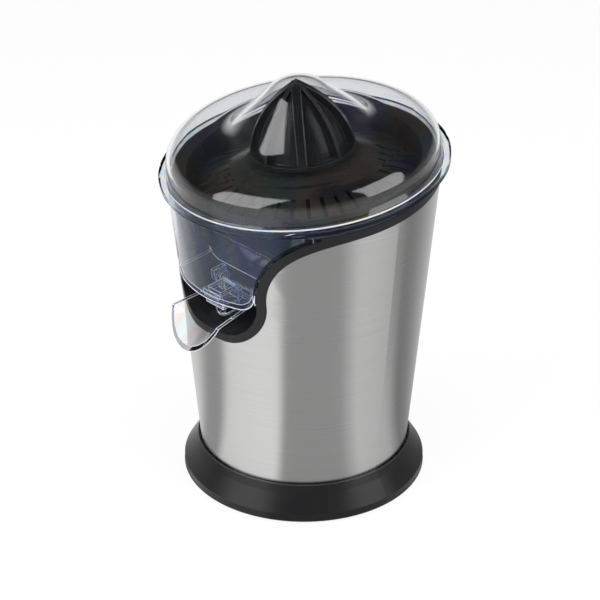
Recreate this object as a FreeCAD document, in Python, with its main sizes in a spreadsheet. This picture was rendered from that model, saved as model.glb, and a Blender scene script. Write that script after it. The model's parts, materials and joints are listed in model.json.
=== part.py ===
import FreeCAD, Part
import math
import os
import types

import Sketcher

# Citrus press juicer. Millimetres and degrees.
# The origin is the middle of the base on the table, +Z is up and the spout points to -Y.
# The steel body and the base stand upright. The bowl, the cone and the whole drive lean toward
# the spout: those pieces are drawn in the "top frame", whose Z is the drive axis and whose
# z = 0 is the plane of the bowl rim, and are then leaned into place.

os.makedirs("parts", exist_ok=True)
doc = FreeCAD.newDocument("citrus_press")
VECTOR = FreeCAD.Vector
ALONG_X = FreeCAD.Rotation(VECTOR(0, 1, 0), 90)
ALONG_Y = FreeCAD.Rotation(VECTOR(1, 0, 0), -90)

SIZES = {
    # Where the leaning top stands
    "lean_angle": 7.5,
    "rim_height": 200.5,
    # Fits
    "seat_gap": 0.3,
    "side_gap": 0.5,
    "running_gap": 0.06,
    "key_gap": 0.12,
    # Base ring
    "base_radius": 74.0,
    "base_skirt_top": 6.0,
    "base_crease_radius": 67.4,
    "base_crease_height": 16.4,
    "base_lip_radius": 65.2,
    "base_lip_height": 20.8,
    "base_lip_gap": 0.7,
    "base_wall": 2.6,
    "base_collar_height": 26.0,
    # Feet and bottom plate
    "foot_height": 1.5,
    "foot_inner_radius": 62.0,
    "foot_outer_radius": 69.0,
    "foot_stem_radius": 2.5,
    "plate_thickness": 2.5,
    "plate_screw_circle": 58.0,
    "plate_screw_radius": 1.5,
    "plate_screw_length": 9.0,
    "plate_boss_radius": 4.0,
    "vent_width": 3.0,
    "vent_length": 40.0,
    "vent_pitch": 8.0,
    # Steel shell
    "shell_seat_height": 18.0,
    "shell_seat_radius": 63.4,
    "shell_taper": 0.085,
    "shell_wall": 0.8,
    # Front opening, its trim and the pocket behind it
    "steel_edge_depth": 12.5,
    "opening_half_width": 39.0,
    "opening_depth": 78.0,
    "opening_corner_radius": 28.0,
    "opening_flare_radius": 36.0,
    "trim_width": 5.0,
    "trim_thickness": 3.0,
    "trim_proud": 0.4,
    "pocket_back": 46.0,
    "housing_wall": 2.0,
    "deck_thickness": 2.5,
    # Tie rods
    "rod_circle_radius": 55.5,
    "rod_radius": 2.0,
    "rod_boss_radius": 5.0,
    "rod_boss_bottom": 143.0,
    "rod_grip": 9.0,
    "rod_foot_height": 11.0,
    "nut_height": 3.2,
    "nut_radius": 4.0,
    # Bowl
    "rim_radius": 84.0,
    "rim_lip": 0.8,
    "rim_thickness": 3.5,
    "ledge_depth": 1.8,
    "ledge_radius": 80.6,
    "bowl_wall": 2.2,
    "bowl_top_radius": 73.9,
    "bowl_bottom_radius": 67.6,
    "bowl_depth": 34.9,
    "apron_proud": 0.8,
    "sump_back": 50.0,
    "sump_depth": 53.0,
    "sump_corner_radius": 9.0,
    # Outlet nozzle and spout pivot under the sump
    "nozzle_width": 15.0,
    "nozzle_centre": 69.0,
    "nozzle_length": 8.0,
    "nozzle_wall": 2.0,
    "pivot_reach": 57.0,
    "pivot_depth": 57.5,
    "pin_radius": 1.25,
    "ear_inside": 17.0,
    "ear_thickness": 3.0,
    "ear_radius": 4.2,
    # Spout
    "spout_wall": 1.9,
    "spout_rear": 58.0,
    "spout_front": 106.0,
    "spout_rear_half_width": 16.6,
    "spout_front_half_width": 22.4,
    "spout_rear_depth": 61.0,
    "spout_front_depth": 61.6,
    "spout_rear_hollow": 4.0,
    "spout_front_hollow": 17.2,
    "lip_top_reach": 91.5,
    "lip_bottom_reach": 103.0,
    "arm_inside": 13.6,
    "arm_thickness": 3.0,
    "arm_radius": 3.6,
    "tip_angle": 15.0,
    "stopper_radius": 7.0,
    "stopper_thickness": 3.4,
    # Lid
    "lid_radius": 79.9,
    "lid_wall": 2.0,
    "lid_shoulder_centre": 66.0,
    "lid_shoulder_radius": 12.8,
    "lid_shoulder_height": 19.9,
    "lid_hollow_centre": 53.0,
    "lid_hollow_radius": 21.0,
    "lid_cone_angle": 42.0,
    "lid_tip_radius": 26.0,
    "lid_height": 51.8,
    # Strainer
    "strainer_radius": 77.0,
    "strainer_rim": 1.9,
    "strainer_wall": 2.0,
    "strainer_basket_radius": 69.6,
    "strainer_moat_radius": 66.0,
    "strainer_moat_depth": 11.0,
    "strainer_crown_radius": 33.0,
    "strainer_crown_height": 3.0,
    "strainer_bore": 12.0,
    "slot_count": 36.0,
    "slot_width": 2.2,
    "slot_inner_radius": 43.0,
    "slot_outer_radius": 62.0,
    # Reamer
    "reamer_radius": 30.0,
    "reamer_foot": 6.0,
    "reamer_height": 49.0,
    "reamer_curve": 53.0,
    "reamer_core_radius": 25.5,
    "reamer_core_height": 46.0,
    "reamer_skirt": 2.2,
    "rib_count": 4.0,
    "rib_direction": -42.0,
    "wide_rib": 4.8,
    "narrow_rib": 1.6,
    "reamer_wall": 2.6,
    "hub_radius": 8.4,
    "hub_depth": 7.0,
    "socket_height": 22.0,
    # Spindle, collar, seal, clip and spring
    "spindle_radius": 5.0,
    "hex_circle_radius": 4.85,
    "spindle_top": 20.0,
    "shoulder_radius": 7.0,
    "shoulder_height": 3.8,
    "boss_radius": 14.0,
    "boss_depth": 13.0,
    "boss_lip": 7.0,
    "boss_lip_bore": 8.0,
    "seal_radius": 9.0,
    "seal_height": 2.5,
    "collar_radius": 11.5,
    "collar_length": 23.7,
    "collar_flange_radius": 16.0,
    "collar_flange": 2.5,
    "clip_radius": 8.0,
    "clip_thickness": 1.0,
    "spring_radius": 11.2,
    "spring_wire": 1.4,
    "spring_turns": 5.0,
    "spring_length": 16.0,
    # Press switch
    "switch_length": 20.0,
    "switch_width": 8.0,
    "switch_height": 11.0,
    "switch_reach": 13.0,
    "plunger_radius": 1.1,
    "plunger_inset": 1.6,
    "plunger_hidden": 3.0,
    "press_travel": 2.5,
    # Gearbox
    "cover_thickness": 2.0,
    "tray_wall": 2.0,
    "tray_depth": 24.0,
    "gear_module": 1.0,
    "gear_teeth": 60.0,
    "pinion_teeth": 12.0,
    "gear_width": 8.0,
    "gear_drop": 6.5,
    "journal_radius": 7.5,
    "bush_wall": 2.0,
    "bush_length": 4.0,
    "post_wall": 2.5,
    "wheel_module": 0.8,
    "wheel_teeth": 54.0,
    "wheel_width": 5.0,
    "idler_direction": 30.0,
    "motor_direction": 243.0,
    "idler_pin_radius": 2.0,
    "gear_backlash": 0.16,
    "lug_circle_radius": 38.5,
    "lug_radius": 4.2,
    "lug_screw_radius": 1.6,
    "lug_screw_grip": 10.0,
    # Motor
    "motor_radius": 31.0,
    "core_height": 26.0,
    "core_yoke": 7.0,
    "core_bore": 14.3,
    "pole_width": 12.0,
    "air_gap": 0.4,
    "bracket_plate": 3.0,
    "bracket_height": 14.0,
    "bracket_wall": 2.5,
    "coil_build": 4.0,
    "coil_inner": 15.6,
    "coil_outer": 21.2,
    "shaft_radius": 2.5,
    "motor_bush_radius": 6.0,
    "motor_bush_length": 6.0,
    "bolt_circle_radius": 27.5,
    "bolt_radius": 1.5,
    "bolt_head_height": 2.4,
    "bolt_head_radius": 2.9,
    # Cord gland and terminal block
    "gland_radius": 5.0,
    "gland_bore": 3.1,
    "gland_height": 9.6,
    "gland_inside": 62.5,
    "gland_outside": 76.0,
    "terminal_length": 24.0,
    "terminal_width": 12.0,
    "terminal_height": 9.0,
    "terminal_setback": 34.0,
}

ROD_DIRECTIONS = (90, 210, 330)
FOOT_DIRECTIONS = (45, 135, 225, 315)
PLATE_SCREW_DIRECTIONS = (0, 120, 180, 300)
LUG_DIRECTIONS = (100, 190, 280)
BOLT_DIRECTIONS = (45, 135, 225, 315)
CUTTER_REACH = 110
CUTTER_TOP = 40


class Size:
    """A length or an angle: the sheet expression that drives it and its present value."""

    def __init__(self, text, value):
        self.text = text
        self.value = value

    def __add__(self, other):
        other = as_size(other)
        return Size(f"({self.text} + {other.text})", self.value + other.value)

    def __sub__(self, other):
        other = as_size(other)
        return Size(f"({self.text} - {other.text})", self.value - other.value)

    def __mul__(self, other):
        other = as_size(other)
        return Size(f"({self.text} * {other.text})", self.value * other.value)

    def __truediv__(self, other):
        other = as_size(other)
        return Size(f"({self.text} / {other.text})", self.value / other.value)

    def __radd__(self, other):
        return as_size(other) + self

    def __rsub__(self, other):
        return as_size(other) - self

    def __rmul__(self, other):
        return as_size(other) * self

    def __rtruediv__(self, other):
        return as_size(other) / self

    def __neg__(self):
        return as_size(0) - self


def as_size(amount):
    if isinstance(amount, Size):
        return amount
    return Size(repr(float(amount)), float(amount))


def sine(angle):
    angle = as_size(angle)
    return Size(f"sin({angle.text})", math.sin(math.radians(angle.value)))


def cosine(angle):
    angle = as_size(angle)
    return Size(f"cos({angle.text})", math.cos(math.radians(angle.value)))


def write_sheet():
    """Put the driving sizes into the sheet and return them by name."""
    sheet = doc.addObject("Spreadsheet::Sheet", "Sizes")
    for row, (name, value) in enumerate(SIZES.items(), start=1):
        sheet.set(f"A{row}", name)
        sheet.set(f"B{row}", str(value))
        sheet.setAlias(f"B{row}", name)
    doc.recompute()
    named = {name: Size(f"Sizes.{name}", value) for name, value in SIZES.items()}
    return types.SimpleNamespace(**named)


size = write_sheet()


# Placing

def bind(item, prop, amount):
    item.setExpression(prop, as_size(amount).text)


def place(item, x=0, y=0, z=0):
    for axis, amount in zip("xyz", (x, y, z)):
        bind(item, f"Placement.Base.{axis}", amount)
    return item


def turn(item, rotation):
    item.Placement = FreeCAD.Placement(VECTOR(), rotation)
    return item


def lean(item):
    """Lean a finished top-frame piece into the upright frame."""
    turn(item, FreeCAD.Rotation(VECTOR(1, 0, 0), 1))
    bind(item, "Placement.Rotation.Angle", size.lean_angle)
    return place(item, 0, 0, size.rim_height)


def stand(item, x, y, z):
    """Bring an upright tool, whose foot is at x, y, z, into the top frame."""
    turn(item, FreeCAD.Rotation(VECTOR(-1, 0, 0), 1))
    bind(item, "Placement.Rotation.Angle", size.lean_angle)
    rise = as_size(z) - size.rim_height
    along = as_size(y) * cosine(size.lean_angle) + rise * sine(size.lean_angle)
    up = rise * cosine(size.lean_angle) - as_size(y) * sine(size.lean_angle)
    return place(item, x, along, up)


def polar(radius, direction):
    return as_size(radius) * cosine(direction), as_size(radius) * sine(direction)


# Solids

def cylinder(name, radius, height, x=0, y=0, z=0, rotation=FreeCAD.Rotation()):
    item = doc.addObject("Part::Cylinder", name)
    bind(item, "Radius", radius)
    bind(item, "Height", height)
    turn(item, rotation)
    return place(item, x, y, z)


def box(name, length, width, height, x=0, y=0, z=0):
    """A box centred on x and y, standing on z."""
    item = doc.addObject("Part::Box", name)
    bind(item, "Length", length)
    bind(item, "Width", width)
    bind(item, "Height", height)
    return place(item, as_size(x) - as_size(length) / 2, as_size(y) - as_size(width) / 2, z)


def hexagon(name, circle_radius, height, z):
    item = doc.addObject("Part::Prism", name)
    item.Polygon = 6
    bind(item, "Circumradius", circle_radius)
    bind(item, "Height", height)
    return place(item, 0, 0, z)


def fuse(name, *items):
    if len(items) == 1:
        return items[0]
    item = doc.addObject("Part::MultiFuse", name)
    item.Shapes = list(items)
    return item


def cut(name, base, *tools):
    item = doc.addObject("Part::Cut", name)
    item.Base = base
    item.Tool = fuse(f"{name}_tools", *tools)
    return item


def common(name, *items):
    item = doc.addObject("Part::MultiCommon", name)
    item.Shapes = list(items)
    return item


def group(name, items):
    item = doc.addObject("Part::Compound", name)
    item.Links = list(items)
    return item


def arc_between(start, finish, radius):
    """The arc from start to finish: a positive radius turns left, a negative one right."""
    chord = finish - start
    middle = start + chord * 0.5
    rise = math.sqrt(radius * radius - chord.Length * chord.Length / 4)
    side = VECTOR(-chord.y, chord.x, 0).normalize() * math.copysign(rise, radius)
    centre = middle + side
    first, last = (start, finish) if radius > 0 else (finish, start)
    angles = [math.atan2(spot.y - centre.y, spot.x - centre.x) for spot in (first, last)]
    return Part.ArcOfCircle(Part.Circle(centre, VECTOR(0, 0, 1), abs(radius)), *angles)


def hold(sketch, name, constraint, amount):
    index = sketch.addConstraint(constraint)
    sketch.renameConstraint(index, name)
    bind(sketch, f"Constraints.{name}", amount)


def draw(sketch, corners):
    """Draw a closed outline. A corner is (u, v), or (u, v, radius) where an arc leaves it."""
    spots = [tuple(as_size(amount) for amount in corner) for corner in corners]
    points = [VECTOR(spot[0].value, spot[1].value, 0) for spot in spots]
    count = len(spots)
    ends = []
    for index, spot in enumerate(spots):
        start, finish = points[index], points[(index + 1) % count]
        backward = len(spot) == 3 and spot[2].value < 0
        ends.append((2, 1) if backward else (1, 2))
        if len(spot) == 3:
            sketch.addGeometry(arc_between(start, finish, spot[2].value))
        else:
            sketch.addGeometry(Part.LineSegment(start, finish))
    for index in range(count):
        after = (index + 1) % count
        joint = Sketcher.Constraint("Coincident", index, ends[index][1], after, ends[after][0])
        sketch.addConstraint(joint)
    for index, spot in enumerate(spots):
        vertex = (index, ends[index][0])
        across = Sketcher.Constraint("DistanceX", -1, 1, *vertex, spot[0].value)
        upward = Sketcher.Constraint("DistanceY", -1, 1, *vertex, spot[1].value)
        hold(sketch, f"across{index}", across, spot[0])
        hold(sketch, f"upward{index}", upward, spot[1])
        if len(spot) == 3:
            radius = spot[2] if spot[2].value > 0 else -spot[2]
            hold(sketch, f"round{index}", Sketcher.Constraint("Radius", index, radius.value), radius)


def sketched(body, name, plane, corners, offset=0):
    sketch = body.newObject("Sketcher::SketchObject", name)
    support = [item for item in body.Origin.OriginFeatures if item.Role == plane][0]
    sketch.AttachmentSupport = [(support, "")]
    sketch.MapMode = "FlatFace"
    bind(sketch, "AttachmentOffset.Base.z", offset)
    draw(sketch, corners)
    return sketch


def turned(name, corners):
    """A body turned about Z from an outline of (radius, height) corners."""
    body = doc.addObject("PartDesign::Body", name)
    sketch = sketched(body, f"{name}_outline", "XZ_Plane", corners)
    feature = body.newObject("PartDesign::Revolution", f"{name}_turn")
    feature.Profile = sketch
    feature.ReferenceAxis = (sketch, ["V_Axis"])
    feature.Angle = 360
    body.Tip = feature
    return body


def padded(name, plane, corners, length, offset=0, midplane=False):
    """A body raised from an outline on one of its origin planes."""
    body = doc.addObject("PartDesign::Body", name)
    sketch = sketched(body, f"{name}_outline", plane, corners, offset)
    feature = body.newObject("PartDesign::Pad", f"{name}_pad")
    feature.Profile = sketch
    feature.SideType = "Symmetric" if midplane else "One side"
    bind(feature, "Length", length)
    body.Tip = feature
    return body


nodes = []


def keep(item, name):
    item.Label = name
    nodes.append(item)
    return item


# Levels in the top frame, downward from the rim
trim_top = size.trim_width - size.steel_edge_depth
ring_bottom = trim_top + size.seat_gap
bowl_under = -size.bowl_depth
deck_top = bowl_under - size.seat_gap
deck_under = deck_top - size.deck_thickness
boss_top = -size.boss_depth
lip_under = boss_top - size.boss_lip
collar_top = lip_under - size.seat_gap
collar_under = collar_top - size.collar_length
cover_top = collar_under - size.spring_length
cover_under = cover_top - size.cover_thickness
tray_top = cover_under - size.tray_depth
tray_under = tray_top - size.tray_wall
gear_top = cover_top - size.gear_drop
gear_under = gear_top - size.gear_width
wheel_under = tray_top + size.cover_thickness - size.seat_gap
wheel_top = wheel_under + size.wheel_width
core_top = tray_under - size.bracket_height
core_under = core_top - size.core_height
bracket_under = core_under - size.bracket_height
cap_under = boss_top + size.side_gap
cap_top = cap_under + size.bowl_wall

stem_circle = (size.foot_inner_radius + size.foot_outer_radius) / 2

# Gear centres in the top frame
gear_radius = size.gear_module * size.gear_teeth / 2
pinion_radius = size.gear_module * size.pinion_teeth / 2
wheel_radius = size.wheel_module * size.wheel_teeth / 2
driver_radius = size.wheel_module * size.pinion_teeth / 2
idler_x, idler_y = polar(gear_radius + pinion_radius, size.idler_direction)


motor_step_x, motor_step_y = polar(wheel_radius + driver_radius, size.motor_direction)
motor_x = idler_x + motor_step_x
motor_y = idler_y + motor_step_y


# Shapes shared by several pieces

def shell_cone(name, offset):
    """The body's taper as an upright solid cone, grown by an offset."""
    height = size.rim_height + CUTTER_TOP / 2 - size.shell_seat_height
    item = doc.addObject("Part::Cone", name)
    foot = size.shell_seat_radius + offset
    bind(item, "Radius1", foot)
    bind(item, "Radius2", foot + size.shell_taper * height)
    bind(item, "Height", height)
    return item


def leaned_cone(name, offset):
    """The same cone seen from the top frame."""
    return stand(shell_cone(name, offset), 0, 0, size.shell_seat_height)


def opening_outline(inset, bottom, corner):
    """The front opening: level edges that flare down into a round-bottomed notch."""
    half = size.opening_half_width - inset
    edge = inset - size.steel_edge_depth
    flare = size.opening_flare_radius + inset
    return [
        (CUTTER_REACH, CUTTER_TOP),
        (-CUTTER_REACH, CUTTER_TOP),
        (-CUTTER_REACH, edge),
        (-(half + flare), edge, -flare),
        (-half, edge - flare),
        (-half, bottom + corner, corner),
        (corner - half, bottom),
        (half - corner, bottom, corner),
        (half, bottom + corner),
        (half, edge - flare, -flare),
        (half + flare, edge),
        (CUTTER_REACH, edge),
    ]


def front_prism(name, inset, start):
    """The front opening as a solid reaching forward from a plane behind it."""
    bottom = inset - size.opening_depth
    corner = size.opening_corner_radius - inset
    outline = opening_outline(as_size(inset), bottom, corner)
    return padded(name, "XZ_Plane", outline, CUTTER_REACH - as_size(start), start)


def sump_prism(name, inset, bottom, start):
    """The bowl's front apron: the same flare with a flat bottom."""
    outline = opening_outline(inset, bottom, size.sump_corner_radius)
    return padded(name, "XZ_Plane", outline, CUTTER_REACH - as_size(start), start)


def slab_above(name, level):
    return box(name, 2 * CUTTER_REACH, 2 * CUTTER_REACH, CUTTER_TOP - level, 0, 0, level)


def opening_solid(name, inset):
    edge = inset - size.steel_edge_depth
    front = front_prism(f"{name}_front", inset, 0)
    return fuse(name, front, slab_above(f"{name}_top", edge))


def tray_outline(name, inset, bottom, height):
    """The gearbox plan: a round for the output gear and one for the idler."""
    gear_room = gear_radius + size.gear_module + size.side_gap * 3 + size.tray_wall - inset
    idler_room = wheel_radius + size.wheel_module + size.side_gap * 2 + size.tray_wall - inset
    gear_round = cylinder(f"{name}_gear_round", gear_room, height, 0, 0, bottom)
    idler_round = cylinder(f"{name}_idler_round", idler_room, height, idler_x, idler_y, bottom)
    return fuse(name, gear_round, idler_round)


# Base

def base_ring():
    inner = size.base_radius - size.base_wall
    groove = size.base_lip_radius - size.base_lip_gap
    collar = size.shell_seat_radius - size.shell_wall - size.seat_gap
    under = size.shell_seat_height - size.base_wall
    ring = turned("base_ring_moulding", [
        (inner, size.foot_height),
        (size.base_radius, size.foot_height),
        (size.base_radius, size.base_skirt_top),
        (size.base_crease_radius, size.base_crease_height),
        (size.base_lip_radius, size.base_lip_height),
        (groove, size.base_lip_height),
        (groove, size.shell_seat_height),
        (collar, size.shell_seat_height),
        (collar, size.base_collar_height),
        (collar - size.base_wall, size.base_collar_height),
        (collar - size.base_wall, under),
        (size.base_crease_radius - size.base_wall, under),
        (inner, size.base_skirt_top),
    ])
    bosses, holes = [], []
    plate_top = size.foot_height + size.plate_thickness
    for direction in ROD_DIRECTIONS:
        x, y = polar(size.rod_circle_radius, direction)
        height = size.base_collar_height - size.rod_foot_height
        bosses.append(cylinder(f"rod_foot_{direction}", size.rod_boss_radius, height,
                               x, y, size.rod_foot_height))
        holes.append(cylinder(f"rod_foot_hole_{direction}", size.rod_radius + size.running_gap, height,
                              x, y, size.rod_foot_height))
    for direction in PLATE_SCREW_DIRECTIONS:
        x, y = polar(size.plate_screw_circle, direction)
        height = under - plate_top + size.base_wall
        bosses.append(cylinder(f"plate_boss_{direction}", size.plate_boss_radius, height, x, y, plate_top))
        holes.append(cylinder(f"plate_boss_hole_{direction}", size.plate_screw_radius,
                              size.plate_screw_length, x, y, size.foot_height))
    holes.append(cylinder("gland_hole", size.gland_radius, size.gland_outside,
                          0, 0, size.gland_height, ALONG_Y))
    solid = fuse("base_ring_solid", ring, *bosses)
    return keep(cut("base_ring", solid, *holes), "base_ring")


def bottom_plate():
    radius = size.base_radius - size.base_wall - size.seat_gap
    disc = cylinder("plate_disc", radius, size.plate_thickness, 0, 0, size.foot_height)
    holes = []
    for direction in FOOT_DIRECTIONS:
        x, y = polar(stem_circle, direction)
        holes.append(cylinder(f"foot_hole_{direction}", size.foot_stem_radius, size.plate_thickness,
                              x, y, size.foot_height))
    for direction in PLATE_SCREW_DIRECTIONS:
        x, y = polar(size.plate_screw_circle, direction)
        holes.append(cylinder(f"plate_hole_{direction}", size.plate_screw_radius, size.plate_thickness,
                              x, y, size.foot_height))
    for index in range(-2, 3):
        holes.append(box(f"vent_{index + 2}", size.vent_length, size.vent_width, size.plate_thickness,
                         0, size.vent_pitch * index - size.vent_pitch, size.foot_height))
    return keep(cut("bottom_plate", disc, *holes), "bottom_plate")


def rubber_foot():
    """A soft ring under the plate, held by stems pushed through it."""
    pad = cylinder("foot_pad", size.foot_outer_radius, size.foot_height)
    eye = cylinder("foot_eye", size.foot_inner_radius, size.foot_height)
    stems = []
    for direction in FOOT_DIRECTIONS:
        x, y = polar(stem_circle, direction)
        stems.append(cylinder(f"foot_stem_{direction}", size.foot_stem_radius, size.plate_thickness,
                              x, y, size.foot_height))
    return keep(fuse("rubber_foot", cut("foot_ring", pad, eye), *stems), "rubber_foot")


def plate_screws():
    screws = []
    for direction in PLATE_SCREW_DIRECTIONS:
        x, y = polar(size.plate_screw_circle, direction)
        screws.append(cylinder(f"plate_screw_{direction}", size.plate_screw_radius,
                               size.plate_screw_length, x, y, size.foot_height))
    return keep(group("plate_screws", screws), "plate_screws")


def cord_gland():
    """The strain relief in the base's rear skirt, where a cord would pass."""
    length = size.gland_outside - size.gland_inside
    sleeve = cylinder("gland_sleeve", size.gland_radius, length,
                      0, size.gland_inside, size.gland_height, ALONG_Y)
    bore = cylinder("gland_bore_tool", size.gland_bore, length,
                    0, size.gland_inside, size.gland_height, ALONG_Y)
    return keep(cut("cord_gland", sleeve, bore), "cord_gland")


def terminal_block():
    block = box("terminal_solid", size.terminal_length, size.terminal_width, size.terminal_height,
                0, size.terminal_setback, size.foot_height + size.plate_thickness)
    ways = []
    for index in (-1, 0, 1):
        ways.append(cylinder(f"terminal_way_{index + 1}", size.terminal_width / 6, size.terminal_height / 2,
                             size.terminal_length / 3 * index, size.terminal_setback,
                             size.foot_height + size.plate_thickness + size.terminal_height / 2))
    return keep(cut("terminal_block", block, *ways), "terminal_block")


def tie_rods():
    bottom = size.rod_foot_height - size.nut_height
    rods, nuts = [], []
    for direction in ROD_DIRECTIONS:
        x, y = polar(size.rod_circle_radius, direction)
        length = size.rod_boss_bottom + size.rod_grip - bottom
        rods.append(cylinder(f"rod_{direction}", size.rod_radius, length, x, y, bottom))
        nut = doc.addObject("Part::Prism", f"nut_blank_{direction}")
        nut.Polygon = 6
        bind(nut, "Circumradius", size.nut_radius)
        bind(nut, "Height", size.nut_height)
        place(nut, x, y, bottom)
        hole = cylinder(f"nut_hole_{direction}", size.rod_radius, size.nut_height, x, y, bottom)
        nuts.append(cut(f"nut_{direction}", nut, hole))
    keep(group("tie_rods", rods), "tie_rods")
    keep(group("rod_nuts", nuts), "rod_nuts")


# Upright shell and leaning housing

def steel_shell():
    outer = place(shell_cone("shell_outside", 0), 0, 0, size.shell_seat_height)
    inner = place(shell_cone("shell_inside", -size.shell_wall), 0, 0, size.shell_seat_height)
    sheet = cut("shell_sheet", outer, inner)
    opening = lean(opening_solid("shell_opening", as_size(0)))
    return keep(cut("steel_shell", sheet, opening), "steel_shell")


def housing_trim():
    """The band that caps the steel's cut edge all the way round."""
    outer = leaned_cone("trim_outside", size.trim_proud)
    inner = leaned_cone("trim_inside", -size.trim_thickness)
    band = cut("trim_band", outer, inner)
    mouth = opening_solid("trim_mouth", as_size(0))
    return common("trim", band, mouth)


def housing_pocket():
    """The walls of the recess behind the spout."""
    wide = front_prism("pocket_outside", size.trim_width - size.housing_wall,
                       size.pocket_back - size.housing_wall)
    return common("pocket", wide, leaned_cone("pocket_limit", -size.shell_wall - size.seat_gap))


def upper_housing():
    cavity_top = size.bowl_top_radius + size.side_gap
    cavity_foot = size.bowl_bottom_radius + size.side_gap
    cup = turned("housing_cup", [
        (0, deck_under),
        (cavity_foot + size.housing_wall, deck_under),
        (cavity_top + size.housing_wall, trim_top),
        (0, trim_top),
    ])
    cavity = turned("housing_cavity", [
        (size.boss_radius, deck_top),
        (cavity_foot, deck_top),
        (cavity_top, trim_top),
        (cavity_top, CUTTER_TOP),
        (0, CUTTER_TOP),
        (0, boss_top),
        (size.boss_radius, boss_top),
    ])
    seal_under = boss_top - size.seal_height
    bore = turned("housing_bore", [
        (0, deck_under),
        (size.collar_radius + size.running_gap, deck_under),
        (size.collar_radius + size.running_gap, lip_under),
        (size.boss_lip_bore, lip_under),
        (size.boss_lip_bore, seal_under),
        (size.seal_radius, seal_under),
        (size.seal_radius, boss_top),
        (0, boss_top),
    ])
    added = [cup, housing_trim(), housing_pocket()]
    removed = [
        cavity,
        bore,
        slab_above("housing_slab", trim_top),
        front_prism("pocket_inside", size.trim_width, size.pocket_back),
    ]
    for direction in ROD_DIRECTIONS:
        x, y = polar(size.rod_circle_radius, direction)
        rise = size.rim_height - size.rod_boss_bottom
        added.append(stand(cylinder(f"rod_boss_{direction}", size.rod_boss_radius, rise),
                           x, y, size.rod_boss_bottom))
        removed.append(stand(cylinder(f"rod_boss_hole_{direction}", size.rod_radius, size.rod_grip),
                             x, y, size.rod_boss_bottom))
    for direction in LUG_DIRECTIONS:
        x, y = polar(size.lug_circle_radius, direction)
        added.append(cylinder(f"gearbox_post_{direction}", size.lug_radius, deck_top - cover_top,
                              x, y, cover_top))
        removed.append(cylinder(f"gearbox_post_hole_{direction}", size.lug_screw_radius,
                                size.lug_screw_grip, x, y, cover_top))
    solid = fuse("housing_solid", *added)
    return keep(lean(cut("upper_housing", solid, *removed)), "upper_housing")


# Bowl and spout

def bowl():
    floor = bowl_under + size.bowl_wall
    wall = size.bowl_wall
    flange_under = -size.rim_thickness
    ring_radius = size.shell_seat_radius + size.shell_taper * (size.rim_height - size.shell_seat_height)
    tube_radius = size.boss_radius + size.side_gap
    body = turned("bowl_body", [
        (0, bowl_under),
        (size.bowl_bottom_radius, bowl_under),
        (size.bowl_top_radius, ring_bottom),
        (ring_radius - size.side_gap, ring_bottom),
        (ring_radius - size.side_gap, flange_under),
        (size.rim_radius - 1, flange_under),
        (size.rim_radius, flange_under + 1),
        (size.rim_radius, size.rim_lip),
        (0, size.rim_lip),
    ])
    inside = turned("bowl_inside", [
        (tube_radius + wall, floor),
        (size.bowl_bottom_radius - wall, floor),
        (size.bowl_top_radius - wall, -size.ledge_depth),
        (size.ledge_radius, -size.ledge_depth),
        (size.ledge_radius, CUTTER_TOP),
        (0, CUTTER_TOP),
        (0, cap_top),
        (tube_radius + wall, cap_top),
    ])
    tube = cylinder("bowl_tube_bore", tube_radius, cap_under - bowl_under, 0, 0, bowl_under)
    passage = cylinder("bowl_passage", size.shoulder_radius, wall, 0, 0, cap_under)

    inset = size.trim_width + size.side_gap
    apron = common("bowl_apron",
                   sump_prism("apron_outside", inset, -size.sump_depth, size.sump_back),
                   leaned_cone("apron_face", size.apron_proud))
    apron = cut("bowl_apron_low", apron, slab_above("apron_top", flange_under))
    hollow = common("bowl_sump",
                    sump_prism("apron_inside", inset + wall, wall - size.sump_depth, size.sump_back + wall),
                    leaned_cone("apron_back", size.apron_proud - wall))
    hollow = cut("bowl_sump_low", hollow, slab_above("sump_top", flange_under))

    nozzle_bottom = -size.sump_depth - size.nozzle_length
    nozzle = box("nozzle_outside", size.nozzle_width, size.nozzle_width, size.nozzle_length + wall,
                 0, -size.nozzle_centre, nozzle_bottom)
    throat_width = size.nozzle_width - 2 * size.nozzle_wall
    throat = box("nozzle_throat", throat_width, throat_width, size.nozzle_length + wall,
                 0, -size.nozzle_centre, nozzle_bottom)
    ears = [pivot_ear("ear_left", -size.ear_inside - size.ear_thickness),
            pivot_ear("ear_right", size.ear_inside)]
    reach = size.ear_inside + size.ear_thickness
    pin_hole = cylinder("ear_holes", size.pin_radius, 2 * reach,
                        -reach, -size.pivot_reach, -size.pivot_depth, ALONG_X)
    solid = fuse("bowl_solid", body, apron, nozzle, *ears)
    clear = [inside, hollow, tube, passage, throat, pin_hole]
    return keep(lean(cut("bowl", solid, *clear)), "bowl")


def pivot_ear(name, side):
    """A rounded plate hanging from the sump's floor, starting at the given x."""
    top = size.bowl_wall - size.sump_depth
    back = -size.pivot_reach + size.ear_radius
    front = -size.pivot_reach - size.ear_radius
    outline = [
        (front, top),
        (front, -size.pivot_depth, size.ear_radius),
        (-size.pivot_reach, -size.pivot_depth - size.ear_radius, size.ear_radius),
        (back, -size.pivot_depth),
        (back, top),
    ]
    return padded(name, "YZ_Plane", outline, size.ear_thickness, side)


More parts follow.
